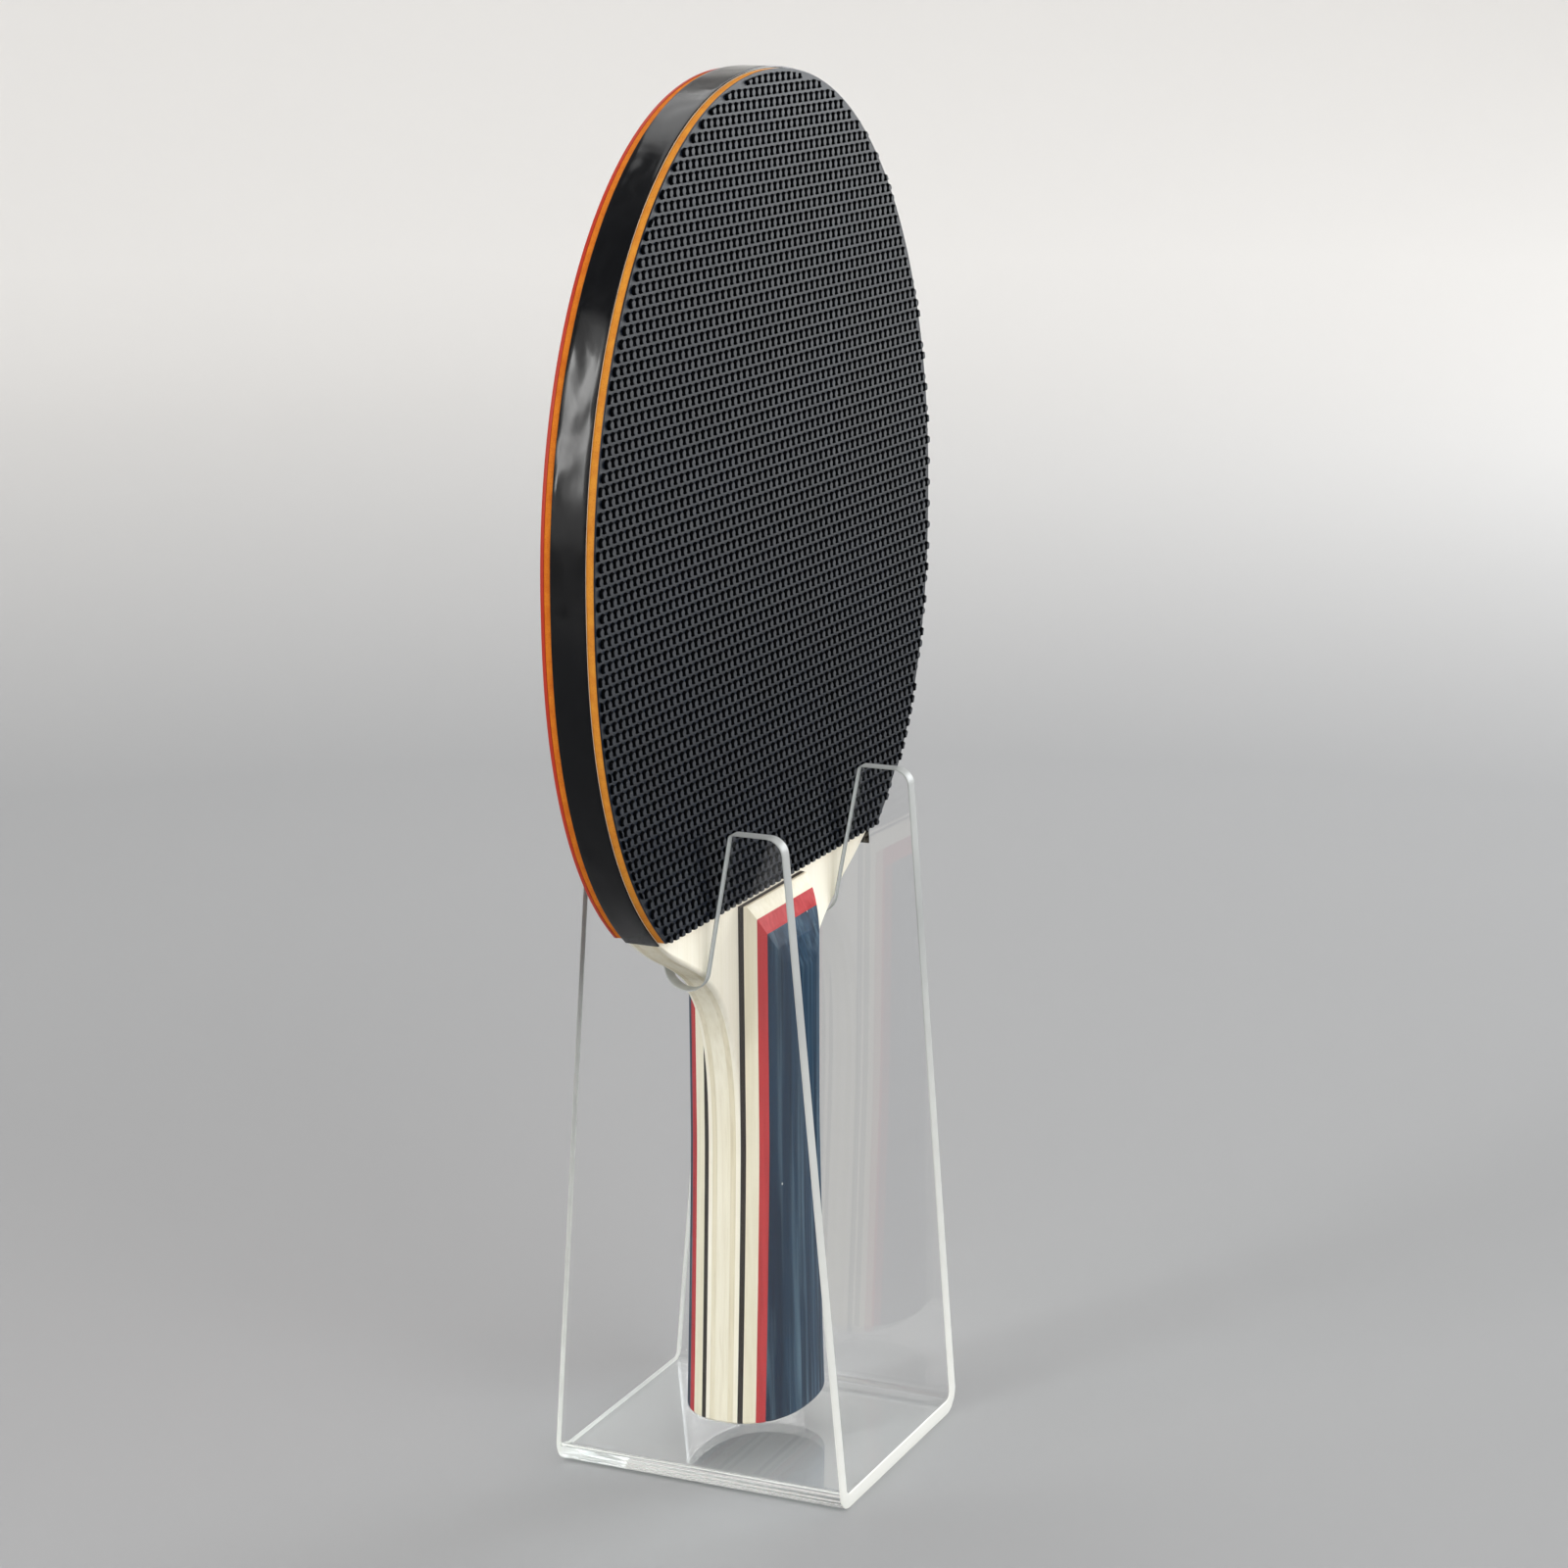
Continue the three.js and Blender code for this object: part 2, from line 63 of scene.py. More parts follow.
# Sizes of the handle
NECK_HEIGHT = 0.0564  # where the handle is narrowest and the wings begin
HANDLE_END_WIDTH = 0.0334
HANDLE_NECK_WIDTH = 0.0279
HANDLE_TOP_WIDTH = 0.0286
HANDLE_END_THICKNESS = 0.0244
HANDLE_NECK_THICKNESS = 0.0229
HANDLE_FLARE_POWER = 1.25
HANDLE_SECTION_POWER = 2.3  # 2 would be an ellipse
HANDLE_END_ROUNDING = 0.0006
TOP_BELOW_RUBBER = 0.0015
BEVEL_HEIGHT = 0.0162  # how far the rounded top end comes down the shell
BEVEL_OUT_SHARE = 0.47  # shape of the top end: its pull outwards
BEVEL_DOWN_SHARE = 0.16  # and downwards

# Sizes of the rubbers
PIMPLE_PITCH = 0.00254
PIMPLE_HEIGHT = 0.00064
PIMPLE_FOOT_RADIUS = 0.00098
PIMPLE_TOP_RADIUS = 0.00072
PIMPLE_RIM = 0.00008  # the top's narrow slope, and how deep the foot stands in the sheet
PIMPLE_REACH = 0.993  # shares of the way out to the head's outline: where pimples are cut off
PIMPLE_CENTRE_REACH = 0.9965  # and how far out a pimple's centre may lie
PIMPLE_SIDES = 10
SHEET_ROUNDING = 0.00012
RED_SHEET_ROUNDING = 0.0004
SPONGE_INSET = 0.00008

# Sizes of the tape
TAPE_GAP = 0.0001
TAPE_THICKNESS = 0.0003
TAPE_ROUNDING = 0.00012
TAPE_WAVE = 0.00006
TAPE_WAVE_LENGTH = 0.009
TAPE_TAIL = 0.0015  # the most that its end at -X hangs below the rubber's lower edge
TAPE_LOOSE_TAIL = 0.0038  # the same for its loose end at +X
TAPE_LOOSE_SKEW = 0.0018

# Sizes of the stand
SHEET_THICKNESS = 0.003
STAND_LENGTH = 0.058  # over the uprights' outer faces, at the foot
BEND_RADIUS = 0.0045  # outside of each bend
LEAN = math.radians(1.08)
NOTCH_DEPTH = 0.0311
NOTCH_SIDE_SLACK = 0.0008
RUBBER_SLACK = 0.00035
PRONG_WIDTH = 0.0108
PRONG_OUTER_RADIUS = 0.0035
PRONG_INNER_RADIUS = 0.001
STAND_EDGE_ROUNDING = 0.00022

# How finely the curves are cut
HEAD_STEPS = 260
WING_STEPS = 48
HANDLE_STEPS = 28
LAYER_LEVELS = 64
LAYER_COLUMNS = 5
CROWN_COLUMNS = 20
ROUNDING_STEPS = 4
BEND_STEPS = 40
CORNER_STEPS = 10
NOTCH_STEPS = 30
TAPE_ROWS = 8
PAINTED_GLOW_BEND_STEPS = 13  # how many of the bend's steps at its foot take the edge material, painted pale as a painted glow
ROUNDING_TURNS = [math.pi / 2 * i / ROUNDING_STEPS for i in range(ROUNDING_STEPS + 1)]

# Edges whose faces meet at more than this stay sharp
SHARP_DEGREES = 35
SHEET_SHARP_DEGREES = 40
FINE_SHARP_DEGREES = 60

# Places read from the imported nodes
head_low, head_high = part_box("black_sponge")
BLADE_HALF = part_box("edge_tape")[1].y
RUBBER_HALF = -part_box("black_topsheet")[0].y
HANDLE_END_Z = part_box("blade_core")[0].z
HEAD_HALF_WIDTH = head_high.x
CUT_HEIGHT = head_low.z - HANDLE_END_Z
WIDEST_HEIGHT = CUT_HEIGHT + WIDEST_ABOVE_CUT
HEAD_UPPER_HEIGHT = head_high.z - HANDLE_END_Z - WIDEST_HEIGHT
HANDLE_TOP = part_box("handle_dark_veneer_front")[1].z - HANDLE_END_Z
STAND_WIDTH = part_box("acrylic_stand")[1].y * 2
STAND_TOP_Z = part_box("acrylic_stand")[1].z


# Outlines of the racket

def ease(start, end, value):
    """A smooth step from 0 to 1 between two values."""
    share = min(max((value - start) / (end - start), 0), 1)
    return share * share * (3 - 2 * share)


def signed_power(value, power):
    return math.copysign(abs(value) ** power, value)


def spoke(angle):
    return Vector((math.cos(angle), math.sin(angle)))


def head_point(angle):
    """A point of the head's outline. Angle 0 is the right end of the widest line."""
    upper = math.sin(angle) >= 0
    power = HEAD_UPPER_POWER if upper else HEAD_LOWER_POWER
    height = HEAD_UPPER_HEIGHT if upper else HEAD_LOWER_HEIGHT
    across = signed_power(math.cos(angle), 2 / power)
    up = signed_power(math.sin(angle), 2 / power)
    return Vector((HEAD_HALF_WIDTH * across, WIDEST_HEIGHT + height * up))


def head_angle_at_height(height):
    return -math.asin(((WIDEST_HEIGHT - height) / HEAD_LOWER_HEIGHT) ** (HEAD_LOWER_POWER / 2))


def head_angle_at_half_width(half_width):
    return -math.acos((half_width / HEAD_HALF_WIDTH) ** (HEAD_LOWER_POWER / 2))


def head_arc(start_angle):
    """The head's outline from an angle on the right round the top to the same height on the left."""
    sweep = math.pi - 2 * start_angle
    return [head_point(start_angle + sweep * i / HEAD_STEPS) for i in range(HEAD_STEPS + 1)]


def inside_head(point):
    """How far out a point lies, as a share of the way to the head's outline."""
    up = point.y - WIDEST_HEIGHT
    power = HEAD_UPPER_POWER if up >= 0 else HEAD_LOWER_POWER
    height = HEAD_UPPER_HEIGHT if up >= 0 else HEAD_LOWER_HEIGHT
    return (abs(point.x / HEAD_HALF_WIDTH) ** power + abs(up / height) ** power) ** (1 / power)


def handle_flare(height):
    return max(1 - height / NECK_HEIGHT, 0) ** HANDLE_FLARE_POWER


def end_rounding(height):
    """How far the handle's rim is drawn in, close to its end."""
    into = max(HANDLE_END_ROUNDING - height, 0)
    return HANDLE_END_ROUNDING - math.sqrt(HANDLE_END_ROUNDING ** 2 - into ** 2)


def handle_half_width(height):
    widening = ease(NECK_HEIGHT, CUT_HEIGHT, height) * (HANDLE_TOP_WIDTH - HANDLE_NECK_WIDTH)
    flare = handle_flare(height) * (HANDLE_END_WIDTH - HANDLE_NECK_WIDTH)
    return (HANDLE_NECK_WIDTH + widening + flare) / 2 - end_rounding(height)


def handle_half_thickness(height):
    flare = handle_flare(height) * (HANDLE_END_THICKNESS - HANDLE_NECK_THICKNESS)
    return (HANDLE_NECK_THICKNESS + flare) / 2 - end_rounding(height)


def handle_side(distance, height):
    """The handle's side at a distance from its middle plane."""
    ratio = min(distance / handle_half_thickness(height), 1)
    share = (1 - ratio ** HANDLE_SECTION_POWER) ** (1 / HANDLE_SECTION_POWER)
    return handle_half_width(height) * share


def rim_heights():
    """Heights on the handle's rounded rim, up from its end."""
    return [HANDLE_END_ROUNDING * (1 - math.cos(turn)) for turn in ROUNDING_TURNS[:-1]]


def bezier(start, first_pull, second_pull, end, steps):
    points = []
    for i in range(steps + 1):
        t = i / steps
        points.append(
            start * (1 - t) ** 3 + first_pull * 3 * t * (1 - t) ** 2
            + second_pull * 3 * t * t * (1 - t) + end * t ** 3
        )
    return points


def wing_side(distance):
    """The right side of the blade's outline, from the handle's end to where the wing ends."""
    straight = NECK_HEIGHT - HANDLE_END_ROUNDING
    heights = rim_heights()
    heights += [HANDLE_END_ROUNDING + straight * i / HANDLE_STEPS for i in range(HANDLE_STEPS)]
    points = [Vector((handle_side(distance, height), height)) for height in heights]
    meet_angle = head_angle_at_half_width(WING_HALF_WIDTH)
    meet = head_point(meet_angle)
    along = (head_point(meet_angle + math.pi / HEAD_STEPS) - meet).normalized()
    neck = Vector((handle_side(distance, NECK_HEIGHT), NECK_HEIGHT))
    up = Vector((0, WING_PULL_UP))
    return points + bezier(neck, neck + up, meet - along * WING_PULL_IN, meet, WING_STEPS)


def mirrored(points):
    return [Vector((-point.x, point.y)) for point in reversed(points)]


def drawn_in(outline, amount_at):
    """A counter-clockwise outline drawn in by an amount that may change from point to point."""
    moved = []
    for i, point in enumerate(outline):
        along = (outline[(i + 1) % len(outline)] - outline[i - 1]).normalized()
        amount = amount_at(point)
        moved.append(Vector((point.x - along.y * amount, point.y + along.x * amount)))
    return moved


def blade_outline(distance):
    """The blade's outline at a distance from its middle plane, with the wings' edges rounded."""
    right = wing_side(distance)
    head = head_arc(head_angle_at_half_width(WING_HALF_WIDTH))
    outline = right[:-1] + head + mirrored(right)[1:]
    into = max(distance - (BLADE_HALF - WING_ROUNDING), 0) / WING_ROUNDING
    amount = WING_ROUNDING * (1 - math.sqrt(max(1 - into * into, 0)))
    wing_top = head_point(head_angle_at_half_width(WING_HALF_WIDTH)).y

    def amount_at(point):
        above_neck = ease(NECK_HEIGHT, NECK_HEIGHT + WING_PULL_UP, point.y)
        below_rubber = 1 - ease(wing_top, CUT_HEIGHT, point.y)
        return amount * above_neck * below_rubber

    return drawn_in(outline, amount_at)


# Meshes

class Shape:
    """The corners and faces of one piece while it is made. Each face has a material number."""

    def __init__(self):
        self.corners = []
        self.faces = []
        self.paints = []
        self.flats = []

    def ring(self, points):
        first = len(self.corners)
        self.corners.extend(tuple(point) for point in points)
        return list(range(first, len(self.corners)))

    def face(self, corners, paint=0, flat=False):
        self.faces.append(corners)
        self.paints.append(paint)
        self.flats.append(flat)

    def bridge(self, ring, following, paint=0):
        """Faces between two closed rings of equally many corners."""
        for i in range(len(ring)):
            self.face([ring[i - 1], ring[i], following[i], following[i - 1]], paint)

    def piece(self, name, materials, sharp_degrees=SHARP_DEGREES):
        """A Blender object with this shape, smooth but for its flat faces and its sharp edges."""
        mesh = bpy.data.meshes.new(name)
        mesh.from_pydata(self.corners, [], self.faces)
        for material in materials:
            mesh.materials.append(material)
        mesh.set_sharp_from_angle(angle=math.radians(sharp_degrees))
        for face, paint, flat in zip(mesh.polygons, self.paints, self.flats):
            face.material_index = paint
            face.use_smooth = not flat
        made = bpy.data.objects.new(name, mesh)
        bpy.context.scene.collection.objects.link(made)
        return made


def stands_for(piece, body, slot, *nodes):
    """The piece rides on a CAD body and replaces CAD nodes. The slot, a record's finish, is not
    used.
    """
    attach(piece, body)
    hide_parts(*nodes)


def loft(outlines, places):
    """A closed shape through outlines of equally many points, each at its own place along Y.
    The outlines run counter-clockwise seen from -Y, and the places rise."""
    shape = Shape()
    rings = []
    for outline, place in zip(outlines, places):
        rings.append(shape.ring((point.x, place, point.y + HANDLE_END_Z) for point in outline))
    for ring, following in zip(rings, rings[1:]):
        shape.bridge(ring, following)
    shape.face(rings[0], flat=True)
    shape.face(rings[-1][::-1], flat=True)
    return shape


def loft_on_side(outlines, distances, side):
    """A loft at distances from the middle plane, on the side -1 (front) or 1 (back)."""
    places = [side * distance for distance in distances]
    if side < 0:
        outlines = outlines[::-1]
        places = places[::-1]
    return loft(outlines, places)


def node_span(node):
    """A node's nearest and farthest distance from the middle plane."""
    low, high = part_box(node)
    return sorted((abs(low.y), abs(high.y)))


def ply_shape(inner, outer, side):
    """One ply of the blade, with the wings' rounding where it reaches this ply."""
    start = BLADE_HALF - WING_ROUNDING
    rounding = [start + WING_ROUNDING * math.sin(turn) for turn in ROUNDING_TURNS[:-1]]
    distances = [inner] + [distance for distance in rounding if inner < distance < outer] + [outer]
    return loft_on_side([blade_outline(distance) for distance in distances], distances, side)


def head_slab_shape(inner, outer, side, inset, rounding):
    """A sheet or sponge on the head. Its outer rim is rounded and may lie inside the outline."""
    outline = head_arc(head_angle_at_height(CUT_HEIGHT))
    distances = [inner]
    insets = [inset]
    for turn in ROUNDING_TURNS:
        distances.append(outer - rounding * (1 - math.sin(turn)))
        insets.append(inset + rounding * (1 - math.cos(turn)))
    outlines = [drawn_in(outline, lambda point, amount=amount: amount) for amount in insets]
    return loft_on_side(outlines, distances, side)


def tape_shape():
    """The tape round the blade's edge, with soft waves in its outer face. Its end at +X hangs lower
    than the other and stands askew towards the front, as in the photograph."""
    on_edge = head_arc(head_angle_at_height(CUT_HEIGHT - TAPE_LOOSE_TAIL))
    on_edge = [point for point in on_edge if point.x > 0 or point.y > CUT_HEIGHT - TAPE_TAIL]
    section = [(TAPE_GAP, -BLADE_HALF)]
    for turn in ROUNDING_TURNS:
        out = TAPE_GAP + TAPE_THICKNESS - TAPE_ROUNDING * (1 - math.sin(turn))
        section.append((out, -BLADE_HALF + TAPE_ROUNDING * (1 - math.cos(turn))))
    near_side = section[::-1]
    flat = BLADE_HALF - TAPE_ROUNDING
    for i in range(1, TAPE_ROWS):
        section.append((TAPE_GAP + TAPE_THICKNESS, flat * (2 * i / TAPE_ROWS - 1)))
    section += [(out, -y) for out, y in near_side]
    shape = Shape()
    rings = []
    for i in range(1, len(on_edge) - 1):
        along = (on_edge[i + 1] - on_edge[i - 1]).normalized()
        below = CUT_HEIGHT - on_edge[i].y if on_edge[i].x > 0 else 0
        askew = TAPE_LOOSE_SKEW * ease(0, TAPE_LOOSE_TAIL, below)
        ring = []
        for out, y in section:
            base = Vector((on_edge[i].x, y, on_edge[i].y)) / TAPE_WAVE_LENGTH
            wave = TAPE_WAVE * noise.noise(base) if out > TAPE_GAP else 0
            reach = out - TAPE_WAVE / 2 + wave if out > TAPE_GAP else out
            point = on_edge[i] + Vector((along.y, -along.x)) * reach
            ring.append((point.x, y - askew, point.y + HANDLE_END_Z))
        rings.append(shape.ring(ring))
    for ring, following in zip(rings, rings[1:]):
        shape.bridge(ring, following)
    shape.face(rings[0][::-1], flat=True)
    shape.face(rings[-1], flat=True)
    return shape


def pimples_shape(inner, outer):
    """The black sheet's pimples, in rows along X, each row half a pitch beside the next.
    Pimples on the rim are cut off just inside the sheet's outline. Their sides have material 1,
    painted darker as shade."""
    shape = Shape()
    row_pitch = PIMPLE_PITCH * math.sqrt(3) / 2
    rows = int((WIDEST_HEIGHT + HEAD_UPPER_HEIGHT - CUT_HEIGHT) / row_pitch) + 1
    columns = int(HEAD_HALF_WIDTH / PIMPLE_PITCH) + 1
    levels = [
        (inner, PIMPLE_FOOT_RADIUS),
        (outer - PIMPLE_RIM, PIMPLE_TOP_RADIUS),
        (outer, PIMPLE_TOP_RADIUS - PIMPLE_RIM),
    ]
    for row in range(rows + 1):
        for column in range(-columns, columns + 1):
            across = PIMPLE_PITCH * (column + row % 2 / 2)
            centre = Vector((across, CUT_HEIGHT + row_pitch * row + PIMPLE_TOP_RADIUS / 2))
            if inside_head(centre) > PIMPLE_CENTRE_REACH:
                continue
            rings = []
            for distance, radius in levels:
                ring = []
                for i in range(PIMPLE_SIDES):
                    angle = 2 * math.pi * i / PIMPLE_SIDES
                    point = centre + spoke(angle) * radius
                    out = inside_head(point)
                    if out > PIMPLE_REACH:
                        middle = Vector((0, WIDEST_HEIGHT))
                        point = middle + (point - middle) * PIMPLE_REACH / out
                    height = max(point.y, CUT_HEIGHT)
                    ring.append((point.x, -distance, height + HANDLE_END_Z))
                rings.append(shape.ring(ring))
            # Material 1 on the sides is painted shade between the pimples.
            shape.bridge(rings[1], rings[0], paint=1)
            shape.bridge(rings[2], rings[1])
            shape.face(rings[2])
    return shape


def bevel_drop(distance):
    """How far the handle's rounded top end has come down at a distance from the middle plane."""
    outermost = handle_half_thickness(HANDLE_TOP)
    out = min((distance - BLADE_HALF) / (outermost - BLADE_HALF), 1)
    bend = 1 - 2 * BEVEL_OUT_SHARE
    along = (math.sqrt(BEVEL_OUT_SHARE ** 2 + bend * out) - BEVEL_OUT_SHARE) / bend
    curve = BEVEL_HEIGHT * (2 * along * (1 - along) * BEVEL_DOWN_SHARE + along * along)
    return max(curve, TOP_BELOW_RUBBER)


def section_angle(distance, height):
    ratio = min(distance / handle_half_thickness(height), 1)
    return math.asin(ratio ** (HANDLE_SECTION_POWER / 2))


def section_distance(angle, height):
    return handle_half_thickness(height) * math.sin(angle) ** (2 / HANDLE_SECTION_POWER)


def handle_layer_shape(inner, outer, side):
    """One layer of the handle between two distances from the middle plane. The outermost layer has
    no outer distance: it runs on over the crown of the handle's section."""
    columns = LAYER_COLUMNS if outer else CROWN_COLUMNS

    def distance_at(column, height):
        if column == 0:
            return inner
        if column == columns and outer:
            return outer
        start = section_angle(inner, height)
        end = section_angle(outer, height) if outer else math.pi / 2
        return section_distance(start + (end - start) * column / columns, height)

    def level_height(level, top):
        if level < ROUNDING_STEPS:
            return rim_heights()[level]
        share = (level - ROUNDING_STEPS) / (LAYER_LEVELS - ROUNDING_STEPS)
        return HANDLE_END_ROUNDING + (top - HANDLE_END_ROUNDING) * share

    shape = Shape()
    rings = []
    top_distances = [distance_at(column, HANDLE_TOP) for column in range(columns + 1)]
    tops = [HANDLE_TOP - bevel_drop(distance) for distance in top_distances]
    for level in range(LAYER_LEVELS + 1):
        right = []
        for column in range(columns + 1):
            height = level_height(level, tops[column])
            distance = distance_at(column, height)
            right.append((handle_side(distance, height), side * distance, height + HANDLE_END_Z))
        left = [(-x, y, z) for x, y, z in reversed(right)]
        rings.append(shape.ring(right + (left if outer else left[1:])))
    if side < 0:
        rings = [ring[::-1] for ring in rings]
    for ring, following in zip(rings, rings[1:]):
        shape.bridge(ring, following)
    shape.face(rings[0][::-1], flat=True)
    # Strips from side to side close the top end. The last one of the crown has only three corners.
    last = rings[-1]
    count = len(last)
    for i in range((count - 1) // 2):
        strip = [last[i], last[i + 1], last[count - 2 - i], last[count - 1 - i]]
        shape.face(list(dict.fromkeys(strip)))
    return shape


# The stand's sheet

def notch_half_outline():
    """The notch from its lowest point up its right side, and the prong's corners, seen along X."""
    radius = BLADE_HALF + NOTCH_SIDE_SLACK
    centre = Vector((0, STAND_TOP_Z - NOTCH_DEPTH + radius))
    clear = Vector((RUBBER_HALF + RUBBER_SLACK, CUT_HEIGHT + HANDLE_END_Z))
    away = clear - centre
    start_angle = math.atan2(away.y, away.x) - math.acos(radius / away.length)
    touch = centre + spoke(start_angle) * radius
    half_width = touch.x + (clear.x - touch.x) * (STAND_TOP_Z - touch.y) / (clear.y - touch.y)
    arc = []
    for i in range(NOTCH_STEPS + 1):
        angle = -math.pi / 2 + (start_angle + math.pi / 2) * i / NOTCH_STEPS
        arc.append(centre + spoke(angle) * radius)
    top_inner = Vector((half_width, STAND_TOP_Z))
    top_outer = Vector((half_width + PRONG_WIDTH, STAND_TOP_Z))
    return arc, top_inner, top_outer


def rounded_corner(before, corner, after, wanted_radius):
    """The points that round a corner between two straight edges."""
    back = before - corner
    on = after - corner
    half = back.angle(on) / 2
    radius = min(wanted_radius, min(back.length, on.length) / 2 * math.tan(half))
    reach = radius / math.tan(half)
    start = corner + back.normalized() * reach
    middle = corner + (back.normalized() + on.normalized()).normalized() * radius / math.sin(half)
    arm = start - middle
    turn = math.pi - 2 * half
    if back.x * on.y - back.y * on.x > 0:
        turn = -turn
    points = []
    for i in range(CORNER_STEPS + 1):
        cos = math.cos(turn * i / CORNER_STEPS)
        sin = math.sin(turn * i / CORNER_STEPS)
        turned = Vector((arm.x * cos - arm.y * sin, arm.x * sin + arm.y * cos))
        points.append(middle + turned)
    return points


def upright_outline():
    """An upright's outline from its foot at +Y over both prongs to its foot at -Y."""
    arc, top_inner, top_outer = notch_half_outline()
    foot_height = BEND_RADIUS * (1 - math.sin(LEAN))
    foot = Vector((STAND_WIDTH / 2, BEND_RADIUS))
    right = [Vector((STAND_WIDTH / 2, foot_height)), foot]
    right += rounded_corner(foot, top_outer, top_inner, PRONG_OUTER_RADIUS)
    right += rounded_corner(top_outer, top_inner, arc[-1], PRONG_INNER_RADIUS)
    right += arc[:0:-1]
    return right + [arc[0]] + mirrored(right)


def stand_shape():
    """One sheet bent up at both ends. Its faces have material 0. Its cut edges have material 1, and
    so has the outer foot of the bend at -X, where the photograph shows the led light come out: there
    the pale edge material is a painted glow."""
    upright = upright_outline()
    bend_centre_x = STAND_LENGTH / 2 - BEND_RADIUS * (1 - math.sin(LEAN)) / math.cos(LEAN)
    bend_angles = [-math.pi / 2 + (math.pi / 2 - LEAN) * i / BEND_STEPS for i in range(BEND_STEPS)]

    def on_bend(angle, depth):
        """How far out along X and how high a point of the bend lies, at a depth in the sheet."""
        radius = BEND_RADIUS - depth
        return bend_centre_x + radius * math.cos(angle), BEND_RADIUS + radius * math.sin(angle)

    def upright_ring(side, depth, inset):
        points = []
        for i, point in enumerate(upright):
            if i in (0, len(upright) - 1):
                inward = Vector((-math.copysign(1, point.x), 0))
                across, height = on_bend(-LEAN, depth)
                points.append((side * across, (point + inward * inset).x, height))
                continue
            along = (upright[i + 1] - upright[i - 1]).normalized()
            moved = point + Vector((-along.y, along.x)) * inset
            across = STAND_LENGTH / 2 - depth / math.cos(LEAN) + moved.y * math.tan(LEAN)
            points.append((side * across, moved.x, moved.y))
        return points

    def bend_ring(side, edge, depth, inset):
        points = []
        for angle in bend_angles:
            across, height = on_bend(angle, depth)
            points.append((side * across, edge * (STAND_WIDTH / 2 - inset), height))
        return points

    def whole_ring(depth, inset):
        right = upright_ring(1, depth, inset) + bend_ring(1, -1, depth, inset)[::-1]
        left = bend_ring(-1, -1, depth, inset) + upright_ring(-1, depth, inset)[::-1]
        back = bend_ring(-1, 1, depth, inset)[::-1] + bend_ring(1, 1, depth, inset)
        return right + left + back

    levels = []
    for turn in ROUNDING_TURNS:
        depth = STAND_EDGE_ROUNDING * (1 - math.cos(turn))
        levels.append((depth, STAND_EDGE_ROUNDING * (1 - math.sin(turn))))
    levels += [(SHEET_THICKNESS - depth, inset) for depth, inset in reversed(levels)]
    shape = Shape()
    rings = [shape.ring(whole_ring(depth, inset)) for depth, inset in levels]
    for ring, following in zip(rings, rings[1:]):
        shape.bridge(following, ring, paint=1)
    # A ring runs over the upright at +X, along the base at -Y, over the other upright and back
    upright_count = len(upright)
    left_start = upright_count + 2 * BEND_STEPS
    left_end = left_start + upright_count
    for ring, outside in ((rings[0], True), (rings[-1], False)):
        right = ring[:upright_count]
        lower = ring[upright_count - 1:left_start + 1]
        left = ring[left_start:left_end]
        upper = [ring[0]] + ring[:left_end - 2:-1]
        for face in (right, left):
            shape.face(face if outside else face[::-1], flat=True)
        # Strip number BEND_STEPS is the flat base, and the bend at -X comes after it
        for i in range(len(lower) - 1):
            face = [upper[i + 1], upper[i], lower[i], lower[i + 1]]
            # Painted light: these strips of the bend's outer foot take the pale edge material as a
            # painted glow.
            pale = outside and 1 <= i - BEND_STEPS <= PAINTED_GLOW_BEND_STEPS
            shape.face(face if outside else face[::-1], paint=int(pale), flat=i == BEND_STEPS)
    return shape


# Materials

def shown(red, green, blue):
    """A colour given as it shows on a screen, from 0 to 255, as a shader takes it."""
    return (*Color((red / 255, green / 255, blue / 255)).from_srgb_to_scene_linear(), 1)


# How often each pattern repeats in a metre along X, Y and Z
WOOD_BANDS = (160, 160, 7)
WOOD_STREAKS = (1200, 1200, 26)
WOOD_PORES = (1700, 1700, 70)
STAIN_WEAR = (520, 520, 12)
STAIN_SPECKS = (240, 240, 150)
SPONGE_CELLS = (3200, 3200, 3200)
SPONGE_CLOUD = (420, 420, 420)
BLACK_RUBBER_CLOUD = (60, 60, 60)
BLACK_RUBBER_GRAIN = (5200, 5200, 5200)
RED_RUBBER_CLOUD = (45, 45, 45)
RED_RUBBER_GRAIN = (2600, 2600, 2600)
TAPE_DENTS = (90, 90, 60)
TAPE_SMEARS = (220, 220, 90)
ACRYLIC_WAVES = (45, 45, 45)
EDGE_LINES = (1800, 160, 160)
EDGE_CLOUD = (60, 60, 60)
FLOOR_CLOUD = (3, 3, 3)

# How deep each relief is
WOOD_RELIEF = 0.000005
SPONGE_RELIEF = 0.00008
BLACK_RUBBER_RELIEF = 0.00002
RED_RUBBER_RELIEF = 0.000006
TAPE_RELIEF = 0.001
ACRYLIC_RELIEF = 0.000006

# The part of a pattern's range over which its effect grows
CLOUD_RANGE = (0.35, 0.7)
GRAIN_RANGE = (0.3, 0.7)
BAND_RANGE = (0.38, 0.66)
STREAK_RANGE = (0.42, 0.72)
PORE_RANGE = (0.62, 0.74)
WEAR_RANGE = (0.52, 0.76)
SPECK_RANGE = (0.035, 0.055)
CELL_RANGE = (0.1, 0.4)
SMEAR_RANGE = (0.45, 0.75)
DULL_RANGE = (0.35, 0.75)

# Wood that faces down shows its end grain, darkened further as painted shade under the handle. The
# upward part of its direction is -1 straight down.
FACING_DOWN = (-0.98, -0.92)
END_GRAIN_AND_SHADE_SHARE = 0.75

# Heights over which the navy's pale streaks fade upwards, and the painted glow of the clear sheet's
# edges falls off
PALE_STREAK_HEIGHTS = (0.02, 0.09)
EDGE_PAINTED_GLOW_HEIGHTS = (0.005, 0.1)

